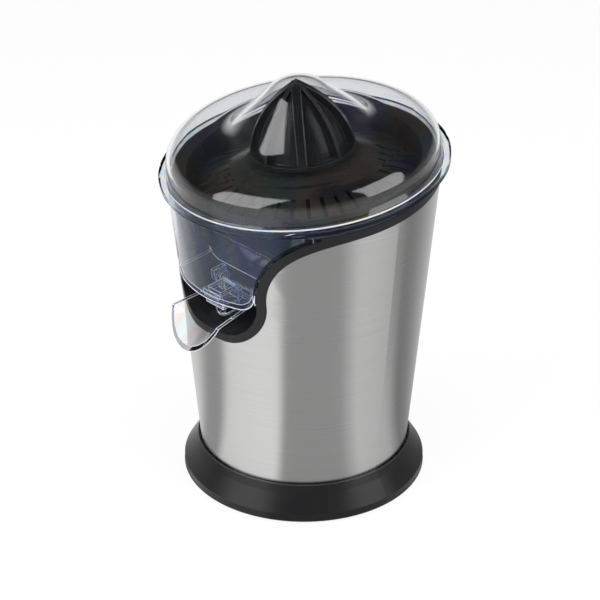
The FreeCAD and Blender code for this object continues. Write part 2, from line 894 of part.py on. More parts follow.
def trough(name, trim, reach_start, extra):
    """The spout's tapering channel, drawn in by a wall and started at a given plane."""
    body = doc.addObject("PartDesign::Body", name)
    sections = []
    stations = (
        (reach_start, size.spout_rear_half_width, size.spout_rear_depth, size.spout_rear_hollow),
        (size.spout_front, size.spout_front_half_width, size.spout_front_depth, size.spout_front_hollow),
    )
    for number, (reach, half_width, depth, hollow) in enumerate(stations):
        half = half_width - trim
        fall = hollow - trim
        radius = (half * half + fall * fall) / (2 * fall)
        outline = [
            (half, extra - depth),
            (-half, extra - depth),
            (-half, -depth, radius),
            (0, -depth - fall, radius),
            (half, -depth),
        ]
        sections.append(sketched(body, f"{name}_section_{number}", "XZ_Plane", outline, reach))
    loft = body.newObject("PartDesign::AdditiveLoft", f"{name}_loft")
    loft.Profile = sections[0]
    loft.Sections = [sections[1]]
    loft.Ruled = True
    body.Tip = loft
    return body


def spout_stopper_solid(name):
    """The pad that meets the nozzle when the spout is tipped right up."""
    item = doc.addObject("Part::Cylinder", name)
    bind(item, "Radius", size.stopper_radius)
    bind(item, "Height", size.stopper_thickness)
    turn(item, FreeCAD.Rotation(VECTOR(1, 0, 0), 1))
    bind(item, "Placement.Rotation.Angle", size.tip_angle)
    reach = size.pivot_reach - size.nozzle_centre
    nozzle_bottom = -size.sump_depth - size.nozzle_length
    drop = nozzle_bottom - size.seat_gap - size.stopper_thickness + size.pivot_depth
    along = reach * cosine(size.tip_angle) - drop * sine(size.tip_angle)
    up = reach * sine(size.tip_angle) + drop * cosine(size.tip_angle)
    return place(item, 0, along - size.pivot_reach, up - size.pivot_depth)


def spout():
    wall = size.spout_wall
    rim = size.seat_gap
    outer = trough("spout_outside", as_size(0), size.spout_rear, rim)
    inner = trough("spout_inside", wall, size.spout_rear + wall, rim + 10)
    lip = padded("spout_lip_cutter", "YZ_Plane", [
        (-size.lip_top_reach, -size.spout_rear_depth + 10),
        (-size.lip_top_reach, -size.spout_front_depth),
        (-size.lip_bottom_reach, -size.spout_front_depth - size.spout_front_hollow),
        (-size.lip_bottom_reach, -size.opening_depth - 20),
        (-CUTTER_REACH - 20, -size.opening_depth - 20),
        (-CUTTER_REACH - 20, -size.spout_rear_depth + 10),
    ], 3 * size.spout_front_half_width, 0, True)
    channel = cut("spout_channel", cut("spout_blank", outer, lip), inner)
    arms = [spout_arm("arm_left", -size.arm_inside - size.arm_thickness),
            spout_arm("arm_right", size.arm_inside)]
    reach = size.arm_inside + size.arm_thickness
    hole = cylinder("arm_holes", size.pin_radius + size.running_gap, 2 * reach,
                    -reach, -size.pivot_reach, -size.pivot_depth, ALONG_X)
    solid = fuse("spout_solid", channel, *arms)
    return keep(lean(cut("spout", solid, hole, spout_stopper_solid("stopper_seat"))), "spout")


def spout_arm(name, side):
    """One of the two arms that carry the trough from the pivot pin."""
    foot = -size.spout_rear_depth - size.spout_rear_hollow / 2
    back = -size.pivot_reach + size.arm_radius
    front = -size.pivot_reach - size.arm_radius
    outline = [
        (front, foot),
        (back, foot),
        (back, -size.pivot_depth, size.arm_radius),
        (-size.pivot_reach, -size.pivot_depth + size.arm_radius, size.arm_radius),
        (front, -size.pivot_depth),
    ]
    return padded(name, "YZ_Plane", outline, size.arm_thickness, side)


def spout_stopper():
    return keep(lean(group("spout_stopper", [spout_stopper_solid("stopper_pad")])), "spout_stopper")


def spout_pin():
    reach = size.ear_inside + size.ear_thickness
    pin = cylinder("spout_pin_blank", size.pin_radius, 2 * reach,
                   -reach, -size.pivot_reach, -size.pivot_depth, ALONG_X)
    return keep(lean(group("spout_pin", [pin])), "spout_pin")


# Lid, strainer and reamer

def lid_points(inset):
    """The lid's half outline from its foot to its tip, drawn in by an inset."""
    shoulder = size.lid_shoulder_radius - inset
    hollow = size.lid_hollow_radius + inset
    tip = size.lid_tip_radius - inset
    shoulder_low = size.lid_shoulder_height - size.lid_shoulder_radius
    hollow_centre = size.lid_shoulder_height + size.lid_hollow_radius
    tip_centre = size.lid_height - size.lid_tip_radius
    slope = size.lid_cone_angle
    return [
        (size.lid_radius - inset, size.seat_gap - size.ledge_depth),
        (size.lid_shoulder_centre + shoulder, shoulder_low, shoulder),
        (size.lid_shoulder_centre, shoulder_low + shoulder),
        (size.lid_hollow_centre, hollow_centre - hollow, -hollow),
        (size.lid_hollow_centre - hollow * sine(slope), hollow_centre - hollow * cosine(slope)),
        (tip * sine(slope), tip_centre + tip * cosine(slope), tip),
        (0, tip_centre + tip),
    ]


def lid():
    outer = lid_points(as_size(0))
    inner = lid_points(size.lid_wall)
    back = [inner[-1]]
    for index in range(len(inner) - 2, -1, -1):
        corner = inner[index]
        if len(corner) == 3:
            back[-1] = back[-1][:2] + (-corner[2],)
        back.append(corner[:2])
    return keep(lean(turned("lid", outer + back)), "lid")


def strainer():
    wall = size.strainer_wall
    rest = -size.ledge_depth
    basket = size.strainer_basket_radius
    dish = turned("strainer_dish", [
        (size.strainer_radius, rest),
        (size.strainer_radius, rest + size.strainer_rim),
        (basket - wall, rest + size.strainer_rim),
        (size.strainer_moat_radius - wall, -size.strainer_moat_depth),
        (size.strainer_crown_radius, size.strainer_crown_height),
        (size.strainer_bore, size.strainer_crown_height),
        (size.strainer_bore, size.strainer_crown_height - wall),
        (size.strainer_crown_radius, size.strainer_crown_height - wall),
        (size.strainer_moat_radius, -size.strainer_moat_depth - wall),
        (basket, rest),
    ])
    half = size.slot_width / 2
    slot = sketched(dish, "strainer_slot", "XY_Plane", [
        (size.slot_inner_radius, -half),
        (size.slot_outer_radius, -half),
        (size.slot_outer_radius, half),
        (size.slot_inner_radius, half),
    ])
    pocket = dish.newObject("PartDesign::Pocket", "strainer_slot_cut")
    pocket.Profile = slot
    pocket.Type = "ThroughAll"
    pocket.SideType = "Symmetric"
    pattern = dish.newObject("PartDesign::PolarPattern", "strainer_slots")
    pattern.Originals = [pocket]
    pattern.Axis = (slot, ["N_Axis"])
    pattern.Angle = 360
    bind(pattern, "Occurrences", size.slot_count)
    dish.Tip = pattern
    return keep(lean(dish), "strainer")


def reamer():
    foot = size.reamer_foot
    skirt_top = foot + size.reamer_skirt
    body = turned("reamer_body", [
        (0, foot),
        (size.reamer_radius, foot),
        (size.reamer_radius, skirt_top),
        (size.reamer_core_radius, skirt_top, size.reamer_curve),
        (0, size.reamer_core_height),
    ])
    add_ribs(body, "wide", size.wide_rib, size.rib_direction)
    add_ribs(body, "narrow", size.narrow_rib, size.rib_direction + 180 / size.rib_count)
    wall = size.reamer_wall
    room = turned("reamer_room", [
        (size.hub_radius, foot),
        (size.reamer_core_radius - wall, foot),
        (size.hub_radius, size.reamer_core_height * 0.62),
    ])
    hub = cylinder("reamer_hub", size.hub_radius, foot + size.hub_depth, 0, 0, -size.hub_depth)
    socket = hexagon("reamer_socket", size.hex_circle_radius + size.key_gap,
                     size.socket_height + size.hub_depth, -size.hub_depth)
    solid = fuse("reamer_solid", body, hub)
    return keep(lean(cut("reamer", solid, room, socket)), "reamer")


def add_ribs(body, name, thickness, direction):
    """A ring of ribs: upright plates whose edges follow the cone's curve."""
    skirt_top = size.reamer_foot + size.reamer_skirt
    outline = [
        (0, skirt_top),
        (size.reamer_radius, skirt_top, size.reamer_curve),
        (0, size.reamer_height),
    ]
    sketch = sketched(body, f"{name}_rib_outline", "XZ_Plane", outline)
    turn_about_axis = FreeCAD.Rotation(VECTOR(0, 1, 0), 1)
    sketch.AttachmentOffset = FreeCAD.Placement(VECTOR(), turn_about_axis)
    bind(sketch, "AttachmentOffset.Rotation.Angle", direction)
    rib = body.newObject("PartDesign::Pad", f"{name}_rib")
    rib.Profile = sketch
    rib.SideType = "Symmetric"
    bind(rib, "Length", thickness)
    pattern = body.newObject("PartDesign::PolarPattern", f"{name}_ribs")
    pattern.Originals = [rib]
    axis = [item for item in body.Origin.OriginFeatures if item.Role == "Z_Axis"][0]
    pattern.Axis = (axis, [""])
    pattern.Angle = 360
    bind(pattern, "Occurrences", size.rib_count)
    body.Tip = pattern


# Press drive

def spindle():
    low = collar_under + size.collar_length / 2
    bottom = gear_under + size.seat_gap + size.press_travel
    shoulder_top = collar_top + size.shoulder_height
    shaft = cylinder("spindle_shaft", size.spindle_radius, cap_top - low, 0, 0, low)
    shoulder = cylinder("spindle_shoulder", size.shoulder_radius, size.shoulder_height, 0, 0, collar_top)
    lower = hexagon("spindle_lower_hex", size.hex_circle_radius, shoulder_top - bottom, bottom)
    upper = hexagon("spindle_upper_hex", size.hex_circle_radius, size.spindle_top - shoulder_top, shoulder_top)
    return keep(lean(fuse("spindle", shaft, shoulder, lower, upper)), "spindle")


def thrust_collar():
    flange_top = collar_under + size.collar_flange
    return keep(lean(turned("thrust_collar", [
        (size.spindle_radius + size.running_gap, collar_under),
        (size.collar_flange_radius, collar_under),
        (size.collar_flange_radius, flange_top),
        (size.collar_radius, flange_top),
        (size.collar_radius, collar_top),
        (size.spindle_radius + size.running_gap, collar_top),
    ])), "thrust_collar")


def ring(name, inner, outer, bottom, height):
    blank = cylinder(f"{name}_blank", outer, height, 0, 0, bottom)
    bore = cylinder(f"{name}_bore", inner, height, 0, 0, bottom)
    return keep(lean(cut(name, blank, bore)), name)


def retaining_clip():
    bottom = collar_under - size.seat_gap - size.clip_thickness
    return ring("retaining_clip", size.hex_circle_radius, size.clip_radius, bottom, size.clip_thickness)


def shaft_seal():
    inner = size.spindle_radius + size.key_gap
    return ring("shaft_seal", inner, size.seal_radius, boss_top - size.seal_height, size.seal_height)


def helix_wire(radius, pitch, turns, bottom):
    """A helix as quarter-turn arcs."""
    def spot(quarter):
        angle = quarter * math.pi / 2
        height = bottom + pitch * quarter / 4
        return VECTOR(radius * math.cos(angle), radius * math.sin(angle), height)

    arcs = [Part.Arc(spot(step), spot(step + 0.5), spot(step + 1)) for step in range(int(turns * 4))]
    return Part.Wire([arc.toShape() for arc in arcs])


def return_spring():
    """The spring that lifts the collar again, between the collar's flange and the gearbox cover."""
    wire = size.spring_wire.value
    turns = size.spring_turns.value
    radius = size.spring_radius.value
    height = size.spring_length.value - wire
    pitch = height / turns
    bottom = cover_top.value + wire / 2
    path = helix_wire(radius, pitch, turns, bottom)
    start = VECTOR(radius, 0, bottom)
    section = Part.Wire([Part.makeCircle(wire / 2, start, VECTOR(0, 1, 0))])
    item = doc.addObject("Part::Feature", "return_spring")
    item.Shape = path.makePipeShell([section], True, False)
    print(f"return_spring: least gap between turns {pitch - wire:.2f} mm")
    return keep(lean(item), "return_spring")


def press_switch():
    bottom = cover_top
    top = bottom + size.switch_height
    middle = -size.switch_reach - size.switch_length / 2
    plunger_x = -size.switch_reach - size.plunger_inset
    well = size.plunger_hidden + size.press_travel + size.seat_gap
    blank = box("switch_blank", size.switch_length, size.switch_width, size.switch_height, middle, 0, bottom)
    hole = cylinder("switch_well", size.plunger_radius + size.running_gap, well, plunger_x, 0, top - well)
    keep(lean(cut("switch_body", blank, hole)), "switch_body")
    stem_bottom = top - size.plunger_hidden
    stem = cylinder("plunger_stem", size.plunger_radius, collar_under - size.seat_gap - stem_bottom,
                    plunger_x, 0, stem_bottom)
    keep(lean(group("switch_plunger", [stem])), "switch_plunger")


# Gearbox

def involute_gear(name, teeth, module, bottom, height, phase, x, y):
    """A spur gear blank with involute flanks, a pressure angle of 25 degrees and some backlash."""
    count = int(round(teeth.value))
    pitch_radius = module.value * count / 2
    base_radius = pitch_radius * math.cos(math.radians(25))
    tip_radius = pitch_radius + module.value
    root_radius = pitch_radius - 1.2 * module.value

    def spread(radius):
        """The involute's polar angle from its start on the base circle."""
        reach = math.sqrt(max(radius * radius / (base_radius * base_radius) - 1, 0))
        return reach - math.atan(reach)

    half_tooth = math.pi / (2 * count) - size.gear_backlash.value / (2 * pitch_radius)
    at_base = half_tooth + spread(pitch_radius)
    start = max(base_radius, root_radius)
    at_foot = at_base - spread(start)
    radii = [start + (tip_radius - start) * step / 4 for step in range(5)]

    def spot(radius, angle):
        return VECTOR(radius * math.cos(angle), radius * math.sin(angle), 0)

    edges = []
    for tooth in range(count):
        middle = phase + 2 * math.pi * tooth / count
        following = middle + 2 * math.pi / count
        rising = [spot(radius, middle - at_base + spread(radius)) for radius in radii]
        falling = [spot(radius, middle + at_base - spread(radius)) for radius in reversed(radii)]
        foot_before = spot(root_radius, middle - at_foot)
        foot_after = spot(root_radius, middle + at_foot)
        next_foot = spot(root_radius, following - at_foot)
        outline = rising + falling
        if start > root_radius:
            outline = [foot_before] + outline + [foot_after]
        edges += [Part.LineSegment(a, b).toShape() for a, b in zip(outline, outline[1:])]
        valley = spot(root_radius, (middle + following) / 2)
        edges.append(Part.Arc(foot_after, valley, next_foot).toShape())
    face = Part.Face(Part.Wire(edges))
    item = doc.addObject("Part::Feature", name)
    item.Shape = face.extrude(VECTOR(0, 0, height.value))
    return place(item, x, y, bottom)


def output_gear():
    blank = involute_gear("output_gear_blank", size.gear_teeth, size.gear_module, gear_under, size.gear_width,
                          0, 0, 0)
    low = tray_top + size.seat_gap
    high = cover_top - size.seat_gap
    journal = cylinder("output_journal", size.journal_radius, high - low, 0, 0, low)
    bore = hexagon("output_bore", size.hex_circle_radius + size.key_gap, high - low, low)
    return keep(lean(cut("output_gear", fuse("output_solid", blank, journal), bore)), "output_gear")


def idler_phase():
    """Turn the idler so that a gap of its pinion meets a tooth of the output gear."""
    teeth = size.pinion_teeth.value
    direction = math.radians(size.idler_direction.value)
    past = direction / (2 * math.pi) * size.gear_teeth.value
    past -= math.floor(past)
    return direction + math.pi + math.pi / teeth + past * 2 * math.pi / teeth


def idler_gear():
    pinion_height = gear_top - wheel_top + size.side_gap
    pinion = involute_gear("idler_pinion", size.pinion_teeth, size.gear_module, wheel_top, pinion_height,
                           idler_phase(), idler_x, idler_y)
    wheel = involute_gear("idler_wheel", size.wheel_teeth, size.wheel_module, wheel_under, size.wheel_width,
                          0, idler_x, idler_y)
    bore = cylinder("idler_bore", size.idler_pin_radius + size.running_gap,
                    size.wheel_width + pinion_height, idler_x, idler_y, wheel_under)
    return keep(lean(cut("idler_gear", fuse("idler_solid", pinion, wheel), bore)), "idler_gear")


def driver_phase():
    """Turn the motor pinion so that a gap of it meets a tooth of the idler wheel."""
    teeth = size.pinion_teeth.value
    direction = math.atan2(motor_y.value - idler_y.value, motor_x.value - idler_x.value)
    past = direction / (2 * math.pi) * size.wheel_teeth.value
    past -= math.floor(past)
    return direction + math.pi + math.pi / teeth + past * 2 * math.pi / teeth


def motor_pinion():
    bottom = tray_top + size.side_gap
    height = wheel_top - bottom + size.side_gap
    blank = involute_gear("motor_pinion_blank", size.pinion_teeth, size.wheel_module, bottom, height,
                          driver_phase(), motor_x, motor_y)
    bore = cylinder("motor_pinion_bore", size.shaft_radius, height, motor_x, motor_y, bottom)
    return keep(lean(cut("motor_pinion", blank, bore)), "motor_pinion")


def idler_pin():
    pin = cylinder("idler_pin_blank", size.idler_pin_radius, cover_top - tray_under, idler_x, idler_y, tray_under)
    return keep(lean(group("idler_pin", [pin])), "idler_pin")


def lugs(name, bottom, height):
    return [cylinder(f"{name}_lug_{direction}", size.lug_radius, height,
                     *polar(size.lug_circle_radius, direction), bottom) for direction in LUG_DIRECTIONS]


def lug_holes(name, bottom, height):
    return [cylinder(f"{name}_lug_hole_{direction}", size.lug_screw_radius, height,
                     *polar(size.lug_circle_radius, direction), bottom) for direction in LUG_DIRECTIONS]


def gearbox_cover():
    plate = tray_outline("cover_plate", as_size(0), cover_under, size.cover_thickness)
    socket = cylinder("cover_bush_socket", size.journal_radius + size.bush_wall, size.cover_thickness,
                      0, 0, cover_under)
    idler_hole = cylinder("cover_idler_hole", size.idler_pin_radius, size.cover_thickness,
                          idler_x, idler_y, cover_under)
    solid = fuse("cover_solid", plate, *lugs("cover", cover_under, size.cover_thickness))
    holes = lug_holes("cover", cover_under, size.cover_thickness)
    return keep(lean(cut("gearbox_cover", solid, socket, idler_hole, *holes)), "gearbox_cover")


def gearbox_tray():
    height = cover_under - tray_under
    outside = tray_outline("tray_outside", as_size(0), tray_under, height)
    inside = tray_outline("tray_inside", size.tray_wall, tray_top, size.tray_depth)
    shell = cut("tray_shell", fuse("tray_solid", outside, *lugs("tray", tray_under, height)), inside)
    bush_radius = size.journal_radius + size.bush_wall
    post = cylinder("tray_post", bush_radius + size.post_wall, size.bush_length, 0, 0, tray_top)
    boss = cylinder("tray_idler_boss", size.idler_pin_radius * 2, wheel_under - size.seat_gap - tray_top,
                    idler_x, idler_y, tray_top)
    bush_socket = cylinder("tray_bush_socket", bush_radius, size.bush_length, 0, 0, tray_top)
    pin_hole = cylinder("tray_pin_hole", size.idler_pin_radius, cover_top - tray_under,
                        idler_x, idler_y, tray_under)
    shaft_hole = cylinder("tray_shaft_hole", driver_radius + size.gear_module + size.side_gap, size.tray_wall,
                          motor_x, motor_y, tray_under)
    bolts = [cylinder(f"tray_bolt_hole_{direction}", size.bolt_radius, size.tray_wall,
                      *bolt_place(direction), tray_under) for direction in BOLT_DIRECTIONS]
    solid = fuse("tray_all", shell, post, boss)
    holes = [bush_socket, pin_hole, shaft_hole] + bolts + lug_holes("tray", tray_under, height)
    return keep(lean(cut("gearbox_tray", solid, *holes)), "gearbox_tray")


def gear_bushes():
    inner = size.journal_radius + size.running_gap
    outer = size.journal_radius + size.bush_wall
    ring("upper_gear_bush", inner, outer, cover_top - size.bush_length, size.bush_length)
    ring("lower_gear_bush", inner, outer, tray_top, size.bush_length)


def gearbox_screws():
    screws = []
    length = cover_top - tray_under + size.lug_screw_grip
    for direction in LUG_DIRECTIONS:
        x, y = polar(size.lug_circle_radius, direction)
        shank = cylinder(f"lug_screw_shank_{direction}", size.lug_screw_radius, length, x, y, tray_under)
        head = cylinder(f"lug_screw_head_{direction}", size.bolt_head_radius, size.bolt_head_height,
                        x, y, tray_under - size.bolt_head_height)
        screws.append(fuse(f"lug_screw_{direction}", shank, head))
    return keep(lean(group("gearbox_screws", screws)), "gearbox_screws")


# Motor

def bolt_place(direction):
    x, y = polar(size.bolt_circle_radius, direction)
    return motor_x + x, motor_y + y


def bolt_holes(name, bottom, height):
    return [cylinder(f"{name}_hole_{direction}", size.bolt_radius, height, *bolt_place(direction), bottom)
            for direction in BOLT_DIRECTIONS]


def motor_stator():
    blank = cylinder("stator_blank", size.motor_radius, size.core_height, motor_x, motor_y, core_under)
    window = cylinder("stator_window", size.motor_radius - size.core_yoke, size.core_height,
                      motor_x, motor_y, core_under)
    yoke = cut("stator_yoke", blank, window)
    span = 2 * (size.motor_radius - size.core_yoke) + size.core_yoke
    poles = [box("stator_poles_x", span, size.pole_width, size.core_height, motor_x, motor_y, core_under),
             box("stator_poles_y", size.pole_width, span, size.core_height, motor_x, motor_y, core_under)]
    bore = cylinder("stator_bore", size.core_bore, size.core_height, motor_x, motor_y, core_under)
    solid = fuse("stator_solid", yoke, *poles)
    holes = bolt_holes("stator", core_under, size.core_height)
    return keep(lean(cut("motor_stator", solid, bore, *holes)), "motor_stator")


def motor_coils():
    """One coil round each pole."""
    coils = []
    depth = size.coil_outer - size.coil_inner
    middle = (size.coil_outer + size.coil_inner) / 2
    bottom = core_under - size.coil_build
    height = size.core_height + 2 * size.coil_build
    width = size.pole_width + 2 * size.coil_build
    for number, (u, v) in enumerate(((1, 0), (0, 1), (-1, 0), (0, -1)), start=1):
        x = motor_x + middle * u
        y = motor_y + middle * v
        outer = (depth, width) if u else (width, depth)
        inner = (depth, size.pole_width) if u else (size.pole_width, depth)
        blank = box(f"coil_blank_{number}", *outer, height, x, y, bottom)
        core = box(f"coil_core_{number}", *inner, size.core_height, x, y, core_under)
        coils.append(cut(f"coil_{number}", blank, core))
    return keep(lean(group("motor_coils", coils)), "motor_coils")


def motor_rotor():
    stack = cylinder("rotor_stack", size.core_bore - size.air_gap, size.core_height,
                     motor_x, motor_y, core_under)
    bottom = bracket_under - size.seat_gap
    shaft = cylinder("rotor_shaft", size.shaft_radius, wheel_top + size.side_gap - bottom,
                     motor_x, motor_y, bottom)
    return keep(lean(fuse("motor_rotor", stack, shaft)), "motor_rotor")


def motor_bracket(name, plate_bottom, bottom, top, bush_bottom):
    """An end bracket: a plate with a rim that grips the core, and a hub for its bush."""
    blank = cylinder(f"{name}_blank", size.motor_radius, top - bottom, motor_x, motor_y, bottom)
    room_height = top - bottom - size.bracket_plate
    room_bottom = bottom if plate_bottom.value > bottom.value else bottom + size.bracket_plate
    inner = size.motor_radius - size.bracket_wall
    room = cylinder(f"{name}_room", inner, room_height, motor_x, motor_y, room_bottom)
    hub = cylinder(f"{name}_hub", size.motor_bush_radius + size.bracket_wall, size.motor_bush_length,
                   motor_x, motor_y, bush_bottom)
    pillars = [cylinder(f"{name}_pillar_{direction}", size.bolt_radius + size.bracket_wall, top - bottom,
                        *bolt_place(direction), bottom) for direction in BOLT_DIRECTIONS]
    limit = cylinder(f"{name}_limit", size.motor_radius, top - bottom, motor_x, motor_y, bottom)
    inside = common(f"{name}_pillars", fuse(f"{name}_pillar_set", *pillars), limit)
    solid = fuse(f"{name}_solid", cut(f"{name}_shell", blank, room), hub, inside)
    socket = cylinder(f"{name}_socket", size.motor_bush_radius, size.motor_bush_length,
                      motor_x, motor_y, bush_bottom)
    holes = bolt_holes(name, bottom, top - bottom)
    keep(lean(cut(name, solid, socket, *holes)), name)
    bush = f"{name}_bush"
    blank = cylinder(f"{bush}_blank", size.motor_bush_radius, size.motor_bush_length,
                     motor_x, motor_y, bush_bottom)
    bore = cylinder(f"{bush}_bore", size.shaft_radius + size.running_gap, size.motor_bush_length,
                    motor_x, motor_y, bush_bottom)
    keep(lean(cut(bush, blank, bore)), bush)


def motor_brackets():
    motor_bracket("upper_bracket", tray_under - size.bracket_plate, core_top, tray_under,
                  tray_under - size.motor_bush_length)
    motor_bracket("lower_bracket", bracket_under, bracket_under, core_under, bracket_under)


def motor_bolts():
    bolts = []
    for direction in BOLT_DIRECTIONS:
        x, y = bolt_place(direction)
        shank = cylinder(f"bolt_shank_{direction}", size.bolt_radius, tray_top - bracket_under, x, y, bracket_under)
        head = cylinder(f"bolt_head_{direction}", size.bolt_head_radius, size.bolt_head_height,
                        x, y, bracket_under - size.bolt_head_height)
        bolts.append(fuse(f"bolt_{direction}", shank, head))
    return keep(lean(group("motor_bolts", bolts)), "motor_bolts")


for make in (
    base_ring, bottom_plate, rubber_foot, plate_screws, cord_gland, terminal_block, tie_rods,
    steel_shell, upper_housing, bowl, spout, spout_stopper, spout_pin, lid, strainer, reamer,
    spindle, thrust_collar, retaining_clip, shaft_seal, return_spring, press_switch,
    gearbox_cover, gearbox_tray, gear_bushes, output_gear, idler_gear, idler_pin, gearbox_screws,
    motor_stator, motor_coils, motor_rotor, motor_pinion, motor_brackets, motor_bolts,
):
    make()
doc.recompute()

failed = [item.Label for item in doc.Objects if "Invalid" in item.State or "Error" in item.State]
if failed:
    raise RuntimeError(f"did not build: {failed}")
for item in nodes:
    shape = item.Shape
    if shape.isNull() or not shape.isValid():
        raise RuntimeError(f"{item.Label} is not a valid solid")
    shape.exportStep(f"parts/{item.Label}.step")
print(f"{len(nodes)} pieces")
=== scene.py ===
import json
import math

import bpy
from mathutils import Matrix, Vector

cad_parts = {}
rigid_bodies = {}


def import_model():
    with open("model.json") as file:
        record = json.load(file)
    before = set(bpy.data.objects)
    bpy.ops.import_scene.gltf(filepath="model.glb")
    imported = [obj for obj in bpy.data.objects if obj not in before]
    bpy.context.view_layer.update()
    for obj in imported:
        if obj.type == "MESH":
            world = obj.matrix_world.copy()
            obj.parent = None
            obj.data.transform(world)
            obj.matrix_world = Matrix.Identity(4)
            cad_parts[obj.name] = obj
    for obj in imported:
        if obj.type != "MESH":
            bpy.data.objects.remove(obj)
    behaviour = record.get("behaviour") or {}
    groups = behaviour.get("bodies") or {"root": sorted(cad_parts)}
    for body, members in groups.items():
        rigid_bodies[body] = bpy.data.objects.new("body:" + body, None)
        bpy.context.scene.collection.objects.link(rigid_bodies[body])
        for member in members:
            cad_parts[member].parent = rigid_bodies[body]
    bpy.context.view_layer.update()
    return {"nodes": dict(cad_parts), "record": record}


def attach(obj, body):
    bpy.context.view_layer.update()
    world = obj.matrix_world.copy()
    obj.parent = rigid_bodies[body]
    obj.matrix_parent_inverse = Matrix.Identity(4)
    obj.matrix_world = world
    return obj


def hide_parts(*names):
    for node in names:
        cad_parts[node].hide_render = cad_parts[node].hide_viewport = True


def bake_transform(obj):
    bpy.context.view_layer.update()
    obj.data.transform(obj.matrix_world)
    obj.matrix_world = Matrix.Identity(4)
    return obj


# A citrus press: brushed steel body, black base, clear leaning bowl and lid over a black cone.
# Metres. The leaning top is modelled about its own axis and then leaned into place.

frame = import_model()

LEAN = math.radians(7.5)
RIM_HEIGHT = 0.2005
TOP_PLACE = Matrix.Translation((0, 0, RIM_HEIGHT)) @ Matrix.Rotation(LEAN, 4, "X")
MM = 0.001

FINE_GRAIN = 900.0
SKIN_DEPTH = 0.0002
BRUSH_DEPTH = 0.0001
BRUSH_STRETCH = (9, 9, 2600)
SHADOW_TINT = (0.86, 0.88, 0.9, 1)


# Shader helpers

def start_material(name):
    material = bpy.data.materials.new(name)
    material.use_nodes = True
    nodes = material.node_tree.nodes
    links = material.node_tree.links
    shader = nodes["Principled BSDF"]
    return material, nodes, links, shader


def object_coordinates(nodes, links, scale=(1, 1, 1), turn=(0, 0, 0)):
    where = nodes.new("ShaderNodeTexCoord")
    mapping = nodes.new("ShaderNodeMapping")
    mapping.inputs["Scale"].default_value = scale
    mapping.inputs["Rotation"].default_value = turn
    links.new(where.outputs["Object"], mapping.inputs["Vector"])
    return mapping.outputs["Vector"]


def group_with_sockets(name, inputs, outputs):
    group = bpy.data.node_groups.new(name, "ShaderNodeTree")
    for label, kind, value in inputs:
        socket = group.interface.new_socket(label, in_out="INPUT", socket_type=kind)
        if value is not None:
            socket.default_value = value
    for label, kind in outputs:
        group.interface.new_socket(label, in_out="OUTPUT", socket_type=kind)
    entry = group.nodes.new("NodeGroupInput")
    leave = group.nodes.new("NodeGroupOutput")
    return group, entry, leave


def make_moulded_skin():
    """Fine mottling of a moulded plastic face: a value for roughness and a height for bump."""
    group, entry, leave = group_with_sockets(
        "moulded_skin",
        [("Vector", "NodeSocketVector", None), ("Broad Scale", "NodeSocketFloat", 40.0),
         ("Low", "NodeSocketFloat", 0.2), ("High", "NodeSocketFloat", 0.3)],
        [("Roughness", "NodeSocketFloat"), ("Height", "NodeSocketFloat")])
    nodes, links = group.nodes, group.links
    fine = nodes.new("ShaderNodeTexNoise")
    broad = nodes.new("ShaderNodeTexNoise")
    fine.inputs["Scale"].default_value = FINE_GRAIN
    fine.inputs["Detail"].default_value = 3
    broad.inputs["Detail"].default_value = 4
    links.new(entry.outputs["Vector"], fine.inputs["Vector"])
    links.new(entry.outputs["Vector"], broad.inputs["Vector"])
    links.new(entry.outputs["Broad Scale"], broad.inputs["Scale"])
    spread = nodes.new("ShaderNodeMapRange")
    spread.inputs["From Min"].default_value = 0.3
    spread.inputs["From Max"].default_value = 0.7
    links.new(broad.outputs["Fac"], spread.inputs["Value"])
    links.new(entry.outputs["Low"], spread.inputs["To Min"])
    links.new(entry.outputs["High"], spread.inputs["To Max"])
    links.new(spread.outputs["Result"], leave.inputs["Roughness"])
    links.new(fine.outputs["Fac"], leave.inputs["Height"])
    return group


def make_brushed_lines():
    """Hair lines that run round the body: a shade, a roughness and a height."""
    group, entry, leave = group_with_sockets(
        "brushed_lines",
        [("Vector", "NodeSocketVector", None), ("Low", "NodeSocketFloat", 0.24),
         ("High", "NodeSocketFloat", 0.36)],
        [("Shade", "NodeSocketFloat"), ("Roughness", "NodeSocketFloat"), ("Height", "NodeSocketFloat")])
    nodes, links = group.nodes, group.links
    lines = nodes.new("ShaderNodeTexNoise")
    lines.inputs["Scale"].default_value = 1.0
    lines.inputs["Detail"].default_value = 6
    lines.inputs["Roughness"].default_value = 0.7
    links.new(entry.outputs["Vector"], lines.inputs["Vector"])
    spread = nodes.new("ShaderNodeMapRange")
    spread.inputs["From Min"].default_value = 0.25
    spread.inputs["From Max"].default_value = 0.75
    links.new(lines.outputs["Fac"], spread.inputs["Value"])
    links.new(entry.outputs["Low"], spread.inputs["To Min"])
    links.new(entry.outputs["High"], spread.inputs["To Max"])
    links.new(lines.outputs["Fac"], leave.inputs["Shade"])
    links.new(spread.outputs["Result"], leave.inputs["Roughness"])
    links.new(lines.outputs["Fac"], leave.inputs["Height"])
    return group


MOULDED_SKIN = make_moulded_skin()
BRUSHED_LINES = make_brushed_lines()


def add_skin(nodes, links, shader, low, high, bump, broad=40.0):
    """Give a shader the moulded skin: a roughness from low to high, and bump where there is any."""
    skin = nodes.new("ShaderNodeGroup")
    skin.node_tree = MOULDED_SKIN
    skin.inputs["Broad Scale"].default_value = broad
    skin.inputs["Low"].default_value = low
    skin.inputs["High"].default_value = high
    links.new(object_coordinates(nodes, links), skin.inputs["Vector"])
    links.new(skin.outputs["Roughness"], shader.inputs["Roughness"])
    if bump:
        relief = nodes.new("ShaderNodeBump")
        relief.inputs["Strength"].default_value = bump
        relief.inputs["Distance"].default_value = SKIN_DEPTH
        links.new(skin.outputs["Height"], relief.inputs["Height"])
        links.new(relief.outputs["Normal"], shader.inputs["Normal"])


